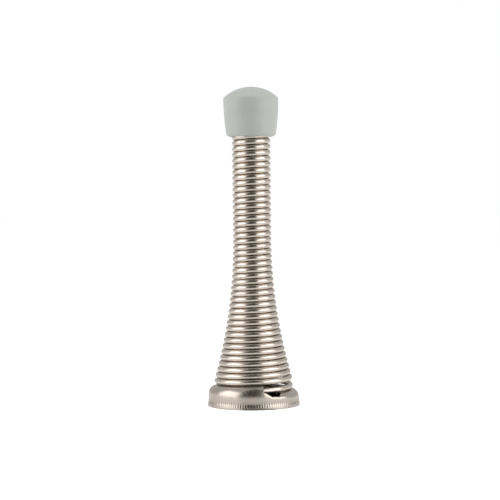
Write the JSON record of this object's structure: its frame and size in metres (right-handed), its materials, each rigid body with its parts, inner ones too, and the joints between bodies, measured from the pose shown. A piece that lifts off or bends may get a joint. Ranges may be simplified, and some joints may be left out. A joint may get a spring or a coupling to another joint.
{
  "type": "spring door stop",
  "caption": "Flared close-wound coil spring door stop: a stamped round base cup with a reeded rim and screw hole holds the spring's foot, and a soft domed tip caps its free end.",
  "frame": {"origin": "centre of the cup's open rim, on the surface that it is fixed to", "axes": "+Z along the spring, from the rim to the tip; the cup's slot faces -Y, turned towards +X"},
  "size_m": [0.0242, 0.0242, 0.084],
  "materials": {
    "cup_metal": "satin nickel plate on stamped steel",
    "wire_metal": "satin nickel plate on spring wire",
    "tip_rubber": "smooth moulded grey rubber"
  },
  "bodies": {
    "base": {"base_cup": "cup_metal"},
    "stem": {"coil_spring": "wire_metal", "soft_tip": "tip_rubber"}
  },
  "joints": [
    {"name": "spring_bend", "type": "hinge", "parent": "base", "child": "stem", "pos_m": [0, 0, 0.026], "axis": [0, 1, 0], "range_deg": [-45, 45], "stiffness_Nm_per_rad": 0.1, "deforming": ["coil_spring"]}
  ]
}
